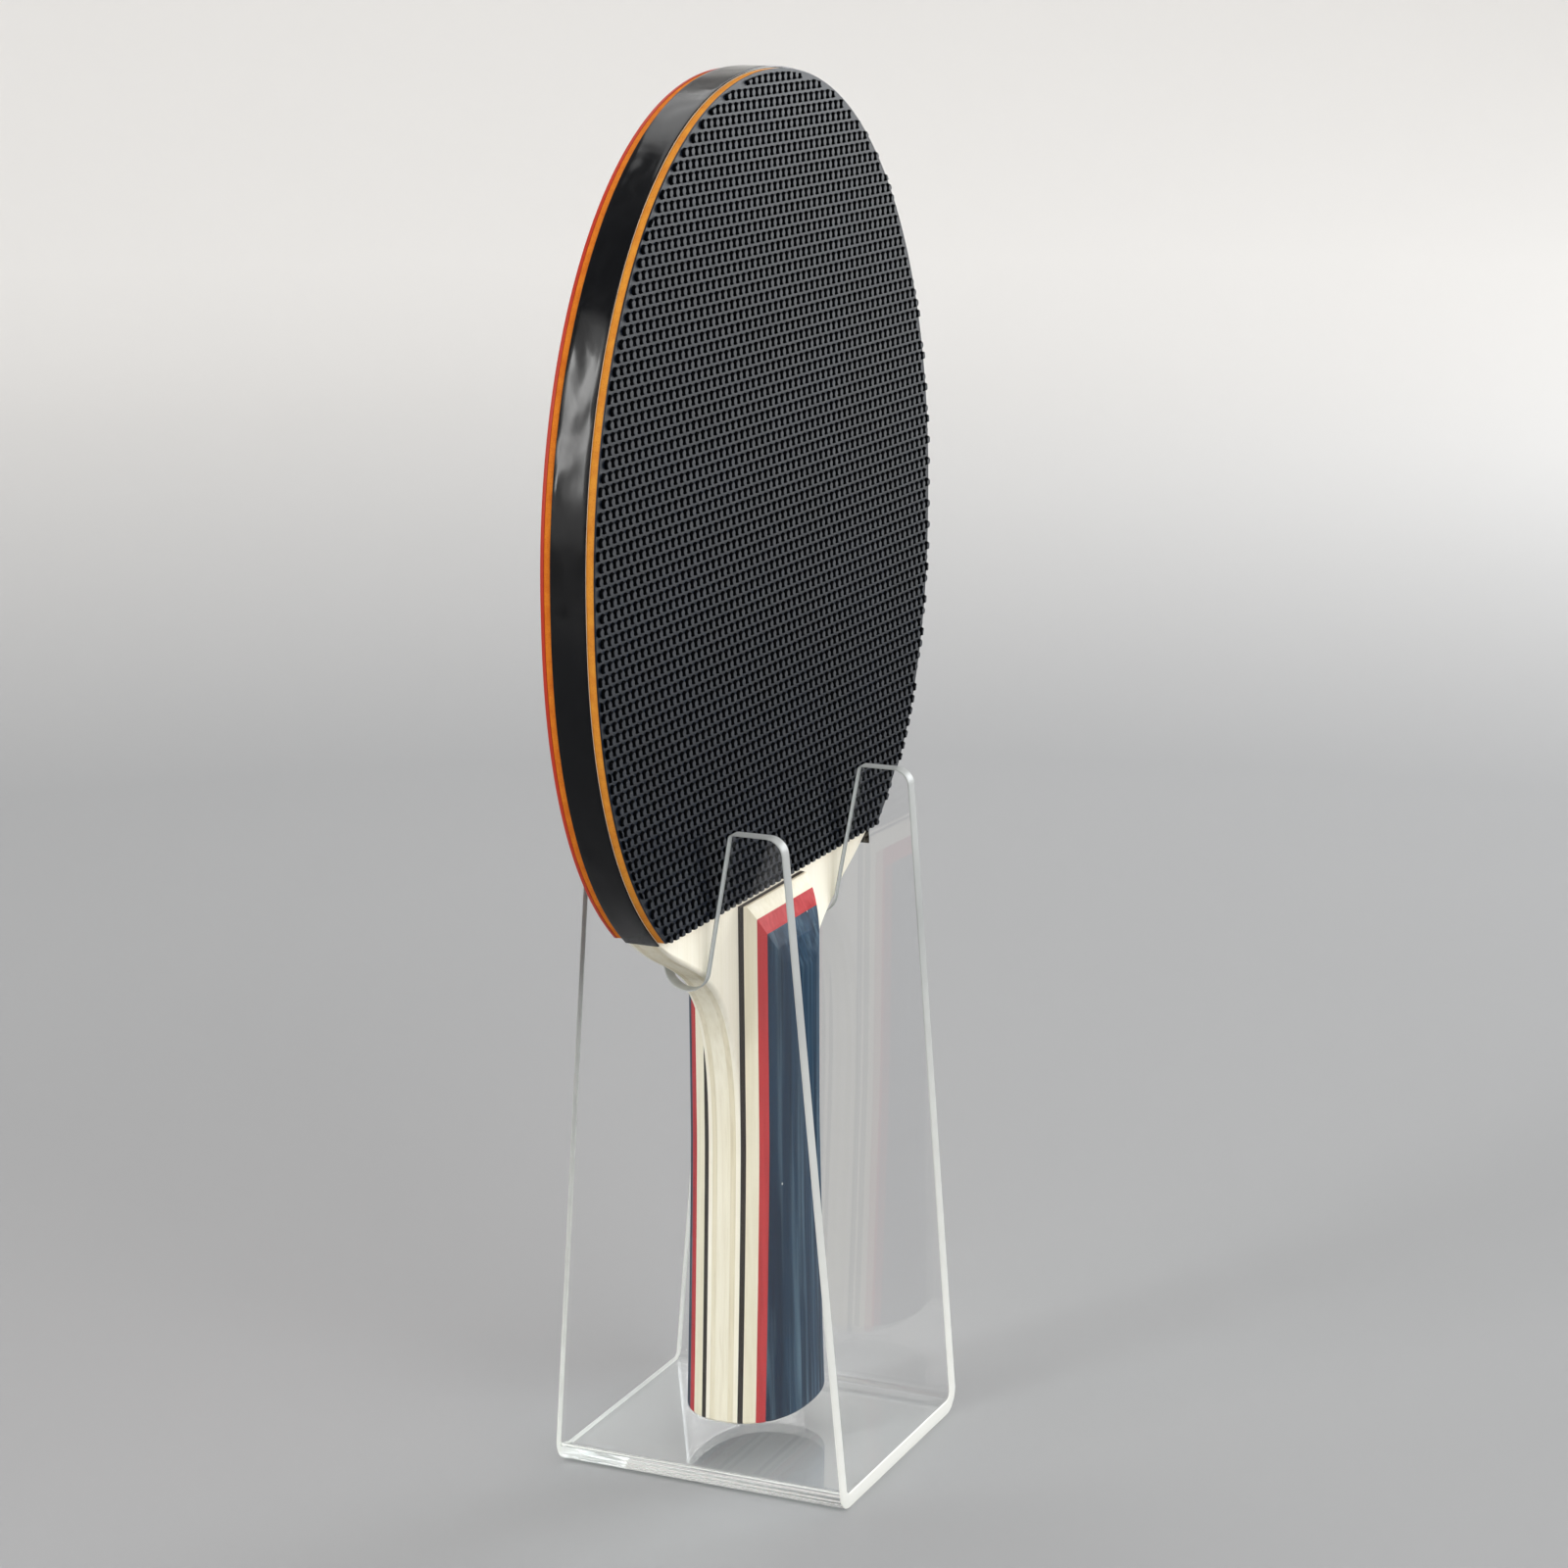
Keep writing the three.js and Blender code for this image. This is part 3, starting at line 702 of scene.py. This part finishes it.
# Clear plastic
ACRYLIC_IOR = 1.49
FACE_SHADOW = (0.88, 0.9, 0.9, 1)  # what the lamps' light through it is tinted with
EDGE_SHADOW = (0.75, 0.77, 0.77, 1)

# Numbers of the Mix node's sockets for colours, whose names other sockets share
MIX_SHARE = 0
MIX_FIRST = 6
MIX_SECOND = 7
MIX_RESULT = 2


class Paint:
    """A material's node tree with one Principled shader, and short calls for its other nodes."""

    def __init__(self, name):
        self.material = bpy.data.materials.new(name)
        self.material.use_nodes = True
        self.tree = self.material.node_tree
        self.shader = self.tree.nodes["Principled BSDF"]
        self.place = self.node("ShaderNodeTexCoord").outputs["Object"]

    def node(self, kind, inputs=None, **settings):
        made = self.tree.nodes.new(kind)
        for key, value in settings.items():
            setattr(made, key, value)
        for socket, value in (inputs or {}).items():
            self.feed(made.inputs[socket], value)
        return made

    def feed(self, socket, value):
        """Links another node's output to a socket, or sets the socket to a value."""
        if isinstance(value, bpy.types.NodeSocket):
            self.tree.links.new(value, socket)
        else:
            socket.default_value = value

    def set(self, **values):
        """Sets the shader's sockets. An underscore in a name stands for a space."""
        for key, value in values.items():
            self.feed(self.shader.inputs[key.replace("_", " ")], value)

    def repeated(self, scales, offset):
        inputs = {"Vector": self.place, "Scale": scales, "Location": offset}
        return self.node("ShaderNodeMapping", inputs).outputs["Vector"]

    def noise(self, scales, detail=3, roughness=0.5, distortion=0, offset=(0, 0, 0)):
        """Noise that repeats about so many times a metre along X, Y and Z."""
        return self.node("ShaderNodeTexNoise", {
            "Vector": self.repeated(scales, offset),
            "Scale": 1,
            "Detail": detail,
            "Roughness": roughness,
            "Distortion": distortion,
        }).outputs["Fac"]

    def cells(self, scales, offset=(0, 0, 0)):
        """Distance to the nearest of scattered points, so many a metre along X, Y and Z."""
        inputs = {"Vector": self.repeated(scales, offset), "Scale": 1}
        return self.node("ShaderNodeTexVoronoi", inputs).outputs["Distance"]

    def height(self):
        """Height above the floor, as it is with the racket at rest."""
        return self.node("ShaderNodeSeparateXYZ", {"Vector": self.place}).outputs["Z"]

    def ramp(self, value, start, end, low=0, high=1):
        """The value taken from one range to another, and held at its ends."""
        return self.node("ShaderNodeMapRange", {
            "Value": value,
            "From Min": start,
            "From Max": end,
            "To Min": low,
            "To Max": high,
        }).outputs["Result"]

    def mix(self, share, first, second):
        """A colour between two, by a share from 0 to 1."""
        inputs = {MIX_SHARE: share, MIX_FIRST: first, MIX_SECOND: second}
        return self.node("ShaderNodeMix", inputs, data_type="RGBA").outputs[MIX_RESULT]

    def bump(self, height, depth, strength=0.4):
        """Lights the surface as if it rose and fell by a depth."""
        inputs = {"Height": height, "Distance": depth, "Strength": strength}
        self.set(Normal=self.node("ShaderNodeBump", inputs).outputs["Normal"])

    def lamps_pass(self, colour):
        """Lets the lamps' light through, tinted, where clear plastic would cast a dark shadow."""
        open_shader = self.node("ShaderNodeBsdfTransparent", {"Color": colour})
        from_lamp = self.node("ShaderNodeLightPath").outputs["Is Shadow Ray"]
        inputs = {0: from_lamp, 1: self.shader.outputs[0], 2: open_shader.outputs[0]}
        both = self.node("ShaderNodeMixShader", inputs)
        self.feed(self.tree.nodes["Material Output"].inputs["Surface"], both.outputs[0])


def wood(name, colours, offset, grain=0.4, pores=0.25, roughness=0.5, gloss=0.4):
    """Wood with its grain along Z: broad bands, fine streaks, short dark pores, and dark end grain
    where it faces down, darkened further as painted shade under the handle. Its colours are the
    ground's, the bands' and the dark grain's. The offset keeps two woods from showing the same
    pattern."""
    paint = Paint(name)
    bands = paint.noise(WOOD_BANDS, detail=3, distortion=0.4, offset=offset)
    streaks = paint.noise(WOOD_STREAKS, detail=3, roughness=0.55, offset=offset)
    short = paint.noise(WOOD_PORES, detail=2, offset=offset)
    facing = paint.node("ShaderNodeTexCoord").outputs["Normal"]
    facing_up = paint.node("ShaderNodeSeparateXYZ", {"Vector": facing}).outputs["Z"]
    ground, band, dark = colours
    colour = paint.mix(paint.ramp(bands, *BAND_RANGE), ground, band)
    colour = paint.mix(paint.ramp(streaks, *STREAK_RANGE, high=grain), colour, dark)
    colour = paint.mix(paint.ramp(short, *PORE_RANGE, high=pores), colour, dark)
    # Painted shade: downward faces are darkened towards near black, partly end grain and partly the
    # shade under the handle.
    end_grain_and_shade = paint.ramp(facing_up, *FACING_DOWN, low=END_GRAIN_AND_SHADE_SHARE, high=0)
    colour = paint.mix(end_grain_and_shade, colour, shown(44, 38, 30))
    paint.set(
        Base_Color=colour,
        Roughness=paint.ramp(streaks, *GRAIN_RANGE, low=roughness - 0.04, high=roughness + 0.08),
        Specular_IOR_Level=gloss,
    )
    paint.bump(streaks, WOOD_RELIEF)
    return paint


def core_wood():
    colours = (shown(244, 238, 218), shown(237, 229, 204), shown(206, 193, 160))
    return wood("core_wood", colours, (3, 1, 2), grain=0.3).material


def inner_ply_wood():
    colours = (shown(236, 228, 203), shown(226, 216, 187), shown(192, 178, 144))
    return wood("inner_ply_wood", colours, (5, 4, 1), grain=0.3).material


def face_ply_wood():
    colours = (shown(250, 245, 229), shown(246, 240, 221), shown(222, 212, 184))
    return wood("face_ply_wood", colours, (1, 6, 3), grain=0.25, pores=0.12).material


def dark_veneer():
    colours = (shown(36, 29, 23), shown(46, 37, 29), shown(14, 11, 9))
    return wood("dark_veneer", colours, (8, 2, 5), gloss=0.1).material


def pale_layer_wood():
    colours = (shown(243, 237, 217), shown(234, 227, 202), shown(212, 200, 168))
    return wood("pale_layer_wood", colours, (2, 9, 7), grain=0.3, gloss=0.15).material


def red_layer_wood():
    colours = (shown(187, 45, 49), shown(198, 63, 65), shown(140, 29, 37))
    return wood("red_layer_wood", colours, (4, 3, 9), roughness=0.55, gloss=0.1).material


def blue_shell_wood():
    """Navy stained wood: pale lengthwise streaks where the stain has worn, paler lower down towards
    the handle's end, and a few bare specks."""
    colours = (shown(13, 40, 64), shown(34, 67, 92), shown(6, 19, 35))
    paint = wood("blue_shell_wood", colours, (7, 5, 4), grain=0.6, pores=0.35, gloss=0.08)
    stain = paint.shader.inputs["Base Color"].links[0].from_socket
    worn = paint.noise(STAIN_WEAR, detail=3, offset=(2, 2, 6))
    # The streaks are paler lower down, by height alone.
    paler_lower_share = paint.ramp(paint.height(), *PALE_STREAK_HEIGHTS, low=0.85, high=0.5)
    stain = paint.mix(paint.ramp(worn, *WEAR_RANGE, high=paler_lower_share), stain, shown(98, 126, 142))
    specks = paint.cells(STAIN_SPECKS, offset=(0.4, 0.2, 0.3))
    bare = paint.ramp(specks, *SPECK_RANGE, low=0.9, high=0)
    paint.set(Base_Color=paint.mix(bare, stain, shown(206, 211, 208)))
    return paint.material


def orange_sponge(name, ground, patch, pore_shade):
    """Foam rubber: fine open cells, with a few deeper ones, each painted darker as the shade in its
    hollow.
    """
    paint = Paint(name)
    cells = paint.cells(SPONGE_CELLS)
    cloud = paint.noise(SPONGE_CLOUD, detail=4)
    colour = paint.mix(paint.ramp(cloud, *CLOUD_RANGE), ground, patch)
    # Painted shade: each cell's hollow takes the darker third colour.
    colour = paint.mix(paint.ramp(cells, *CELL_RANGE, low=0.5, high=0), colour, pore_shade)
    paint.set(Base_Color=colour, Roughness=0.85, Specular_IOR_Level=0.15)
    paint.bump(cells, SPONGE_RELIEF, strength=0.6)
    return paint.material


def black_rubber(name, first, second, gloss, roughness):
    """Dull black rubber with a faint bloom on it."""
    paint = Paint(name)
    cloud = paint.noise(BLACK_RUBBER_CLOUD, detail=4)
    grain = paint.noise(BLACK_RUBBER_GRAIN, detail=3)
    paint.set(
        Base_Color=paint.mix(paint.ramp(cloud, *CLOUD_RANGE), first, second),
        Roughness=paint.ramp(grain, *GRAIN_RANGE, low=roughness, high=roughness + 0.1),
        Specular_IOR_Level=gloss,
    )
    paint.bump(grain, BLACK_RUBBER_RELIEF)
    return paint.material


def rubber_tops():
    """The black sheet and its pimples' tops, lighter than the pimples' sides, which are painted
    darker as shade.
    """
    first = shown(3, 12, 24)
    second = shown(6, 17, 31)
    return black_rubber("black_rubber_tops", first, second, gloss=0.35, roughness=0.32)


def pimple_sides_painted_shade():
    """The pimples' sides, painted near black and dull: painted shade between the pimples."""
    first = shown(2, 3, 4)
    second = shown(4, 5, 7)
    return black_rubber("black_pimple_sides_painted_shade", first, second, gloss=0.03, roughness=0.7)


def red_rubber():
    """Smooth red rubber with a soft, slightly cloudy sheen."""
    paint = Paint("red_rubber")
    cloud = paint.noise(RED_RUBBER_CLOUD, detail=4)
    grain = paint.noise(RED_RUBBER_GRAIN, detail=3)
    clouded = paint.ramp(cloud, *CLOUD_RANGE)
    paint.set(
        Base_Color=paint.mix(clouded, shown(187, 58, 38), shown(178, 51, 34)),
        Roughness=paint.ramp(cloud, *GRAIN_RANGE, low=0.38, high=0.48),
        Specular_IOR_Level=0.22,
    )
    paint.bump(grain, RED_RUBBER_RELIEF)
    return paint.material


def black_tape():
    """Glossy black tape, pressed on by hand: it has shallow dents and a few dull smears."""
    paint = Paint("black_tape")
    dents = paint.noise(TAPE_DENTS, detail=1, distortion=0.4)
    smears = paint.noise(TAPE_SMEARS, detail=5, distortion=0.6)
    smeared = paint.ramp(smears, *SMEAR_RANGE, high=0.5)
    paint.set(
        Base_Color=paint.mix(smeared, shown(2, 3, 6), shown(8, 9, 13)),
        Roughness=paint.ramp(smears, *DULL_RANGE, low=0.08, high=0.26),
        Specular_IOR_Level=0.26,
    )
    paint.bump(dents, TAPE_RELIEF, strength=0.5)
    return paint.material


def acrylic_face():
    """Polished clear plastic, very slightly wavy where the sheet was heated and bent."""
    paint = Paint("acrylic_face")
    waves = paint.noise(ACRYLIC_WAVES, detail=2)
    paint.set(Base_Color=(1, 1, 1, 1), Roughness=0, Transmission_Weight=1, IOR=ACRYLIC_IOR)
    paint.bump(waves, ACRYLIC_RELIEF)
    paint.lamps_pass(FACE_SHADOW)
    return paint.material


def acrylic_edge():
    """A sawn and polished edge: pale grey, and painted near white close to the floor as a painted
    glow of the light it gathers.
    """
    paint = Paint("acrylic_edge")
    lines = paint.noise(EDGE_LINES, detail=2)
    cloud = paint.noise(EDGE_CLOUD, detail=2)
    upper = paint.mix(paint.ramp(cloud, *GRAIN_RANGE), shown(184, 187, 185), shown(170, 173, 172))
    # Painted light: near the floor the edge turns near white, a painted glow.
    painted_glow_fade = paint.ramp(paint.height(), *EDGE_PAINTED_GLOW_HEIGHTS)
    paint.set(
        Base_Color=paint.mix(painted_glow_fade, shown(246, 247, 241), upper),
        Roughness=paint.ramp(lines, *GRAIN_RANGE, low=0.3, high=0.4),
        Specular_IOR_Level=0.3,
    )
    paint.lamps_pass(EDGE_SHADOW)
    return paint.material


# The racket's pieces

def make_blade():
    core = node_span("blade_core")[1]
    outlines = [blade_outline(core)] * 2
    piece = loft(outlines, [-core, core]).piece("blade_core_ply", [core_wood()])
    stands_for(piece, "racket", "core_wood", "blade_core")
    plies = (
        ("inner", inner_ply_wood(), "inner_ply_wood"),
        ("face", face_ply_wood(), "face_ply_wood"),
    )
    for place, side in (("front", -1), ("back", 1)):
        for kind, material, slot in plies:
            node = f"blade_{kind}_ply_{place}"
            shape = ply_shape(*node_span(node), side)
            stands_for(shape.piece(f"{kind}_ply_{place}", [material]), "racket", slot, node)


def make_handle():
    layers = (
        ("dark_veneer", dark_veneer(), "dark_veneer"),
        ("pale_layer", pale_layer_wood(), "pale_layer_wood"),
        ("red_layer", red_layer_wood(), "red_layer_wood"),
        ("blue_shell", blue_shell_wood(), "blue_shell_wood"),
    )
    for place, side in (("front", -1), ("back", 1)):
        for kind, material, slot in layers:
            node = f"handle_{kind}_{place}"
            inner, outer = node_span(node)
            if kind == "blue_shell":
                outer = None
            shape = handle_layer_shape(inner, outer, side)
            stands_for(shape.piece(f"grip_{kind}_{place}", [material]), "racket", slot, node)


def make_rubbers():
    # Each sponge's third colour is painted shade in its cells.
    yellower = (shown(221, 148, 54), shown(207, 127, 45), shown(172, 92, 32))
    redder = (shown(221, 127, 38), shown(206, 107, 30), shown(168, 76, 22))
    sponges = (
        ("black_sponge", "sponge_under_black", -1, orange_sponge("yellower_sponge", *yellower)),
        ("red_sponge", "sponge_under_red", 1, orange_sponge("redder_sponge", *redder)),
    )
    for node, name, side, sponge in sponges:
        shape = head_slab_shape(*node_span(node), side, SPONGE_INSET, SHEET_ROUNDING)
        stands_for(shape.piece(name, [sponge]), "racket", "orange_sponge", node)
    shape = head_slab_shape(*node_span("red_topsheet"), 1, 0, RED_SHEET_ROUNDING)
    stands_for(shape.piece("red_sheet", [red_rubber()]), "racket", "red_rubber", "red_topsheet")
    inner, outer = node_span("black_topsheet")
    base = outer - PIMPLE_HEIGHT
    tops = rubber_tops()
    shape = head_slab_shape(inner, base, -1, 0, SHEET_ROUNDING)
    stands_for(shape.piece("black_sheet_base", [tops]), "racket", "black_rubber", "black_topsheet")
    shape = pimples_shape(base - PIMPLE_RIM, outer)
    piece = shape.piece("black_pimples", [tops, pimple_sides_painted_shade()], FINE_SHARP_DEGREES)
    stands_for(piece, "racket", "black_rubber", "black_topsheet")


def make_tape():
    piece = tape_shape().piece("tape_round_blade", [black_tape()], FINE_SHARP_DEGREES)
    stands_for(piece, "racket", "black_tape", "edge_tape")


def make_stand():
    materials = [acrylic_face(), acrylic_edge()]
    piece = stand_shape().piece("bent_sheet", materials, SHEET_SHARP_DEGREES)
    stands_for(piece, "stand", "clear_acrylic", "acrylic_stand")


# The studio: a pale floor that curves up into a wall all round, lamps and the camera

FLOOR_DROP = 0.0002
FLOOR_RADIUS = 1.5
SWEEP_RADIUS = 0.9
WALL_HEIGHT = 1.3
FLOOR_SIDES = 96
SWEEP_STEPS = 24
FLOOR_NEAR = (0.365, 0.368, 0.373, 1)
FLOOR_NEAR_PATCH = (0.38, 0.383, 0.388, 1)
FLOOR_FAR = (0.84, 0.826, 0.807, 1)
FLOOR_BLEND = (0.6, 1.8)  # how far out the near colour begins and ends to turn into the far one

# The lamps face this point
AIM = Vector((0, 0, 0.13))

# Colours of the lamps
NEUTRAL = (1, 1, 1)
WINDOW_WHITE = (1, 1, 0.99)
COOL_WHITE = (0.94, 0.97, 1)

# Each lamp's name, the way to it from there, its distance, width, height, brightness and colour
LAMPS = (
    ("window_side", (-0.78, 0.42, 0.41), 1.25, 0.13, 0.6, 14, WINDOW_WHITE),
    ("window_glow", (-0.8, 0.4, 0.38), 1.3, 0.4, 1.0, 1.1, WINDOW_WHITE),
    ("front_fill", (-0.45, -0.85, 0.42), 2.1, 1.5, 1.5, 2.7, NEUTRAL),
    ("overhead", (0.5, 0.1, 1), 2.1, 1.8, 1.8, 1.9, NEUTRAL),
    ("right_side", (0.9, -0.42, 0.23), 1.8, 0.8, 0.6, 9, COOL_WHITE),
)
WORLD_BRIGHTNESS = 0.34

# Light that is led along inside the clear sheet turns back from its faces many times
LIGHT_BOUNCES = 24


def make_floor():
    """The floor and the wall in one. The floor is darker near the object than farther out."""
    profile = [(FLOOR_RADIUS / 2, -FLOOR_DROP)]
    for i in range(SWEEP_STEPS + 1):
        turn = math.pi / 2 * i / SWEEP_STEPS
        out = FLOOR_RADIUS + SWEEP_RADIUS * math.sin(turn)
        profile.append((out, SWEEP_RADIUS * (1 - math.cos(turn)) - FLOOR_DROP))
    profile.append((FLOOR_RADIUS + SWEEP_RADIUS, SWEEP_RADIUS + WALL_HEIGHT))
    shape = Shape()
    rings = []
    angles = [2 * math.pi * i / FLOOR_SIDES for i in range(FLOOR_SIDES)]
    for out, height in profile:
        rings.append(shape.ring((out * math.cos(a), out * math.sin(a), height) for a in angles))
    shape.face(rings[0])
    for ring, following in zip(rings, rings[1:]):
        shape.bridge(ring, following)
    paint = Paint("plain_floor")
    cloud = paint.noise(FLOOR_CLOUD, detail=2)
    away = paint.node("ShaderNodeVectorMath", {0: paint.place}, operation="LENGTH").outputs["Value"]
    near = paint.mix(cloud, FLOOR_NEAR, FLOOR_NEAR_PATCH)
    colour = paint.mix(paint.ramp(away, *FLOOR_BLEND), near, FLOOR_FAR)
    paint.set(Base_Color=colour, Roughness=0.9)
    shape.piece("studio_floor", [paint.material], FINE_SHARP_DEGREES)


def make_lamp(name, direction, distance, width, height, brightness, colour):
    """A soft rectangular lamp. Brightness is that of its own surface, where 1 is white."""
    data = bpy.data.lights.new(name, "AREA")
    data.shape = "RECTANGLE"
    data.size = width
    data.size_y = height
    data.energy = brightness * math.pi * width * height
    data.color = colour
    lamp = bpy.data.objects.new(name, data)
    bpy.context.scene.collection.objects.link(lamp)
    way = Vector(direction).normalized()
    lamp.location = AIM + way * distance
    lamp.rotation_euler = way.to_track_quat("Z", "Y").to_euler()
    lamp.visible_camera = False


def make_lamps():
    for lamp in LAMPS:
        make_lamp(*lamp)
    world = bpy.data.worlds.new("studio_world")
    world.use_nodes = True
    background = world.node_tree.nodes["Background"]
    background.inputs["Color"].default_value = (*NEUTRAL, 1)
    background.inputs["Strength"].default_value = WORLD_BRIGHTNESS
    bpy.context.scene.world = world


# The camera, fitted to the photograph on the CAD model's edges
CAMERA_PLACE = Vector((-0.65285, -0.30409, 0.30745))
CAMERA_YAW = math.radians(24.52)
CAMERA_PITCH = math.radians(-13.55)
CAMERA_ROLL = math.radians(-0.35)
CAMERA_LENS = 88.64
SENSOR_WIDTH = 36
CLIP_NEAR = 0.01
CLIP_FAR = 50


def make_camera():
    forward = Vector((
        math.cos(CAMERA_YAW) * math.cos(CAMERA_PITCH),
        math.sin(CAMERA_YAW) * math.cos(CAMERA_PITCH),
        math.sin(CAMERA_PITCH),
    ))
    level_right = forward.cross(Vector((0, 0, 1))).normalized()
    level_up = level_right.cross(forward)
    right = level_right * math.cos(CAMERA_ROLL) + level_up * math.sin(CAMERA_ROLL)
    up = level_up * math.cos(CAMERA_ROLL) - level_right * math.sin(CAMERA_ROLL)
    data = bpy.data.cameras.new("photo_camera")
    data.sensor_width = SENSOR_WIDTH
    data.lens = CAMERA_LENS
    data.clip_start = CLIP_NEAR
    data.clip_end = CLIP_FAR
    camera = bpy.data.objects.new("photo_camera", data)
    bpy.context.scene.collection.objects.link(camera)
    turn = Matrix((right, up, -forward)).transposed().to_4x4()
    camera.matrix_world = Matrix.Translation(CAMERA_PLACE) @ turn
    bpy.context.scene.camera = camera


make_camera()
make_floor()
make_lamps()
make_stand()
make_blade()
make_handle()
make_rubbers()
make_tape()
bpy.context.scene.view_settings.view_transform = "Standard"
bpy.context.scene.cycles.max_bounces = LIGHT_BOUNCES
bpy.context.scene.cycles.glossy_bounces = LIGHT_BOUNCES
bpy.context.scene.cycles.transmission_bounces = LIGHT_BOUNCES
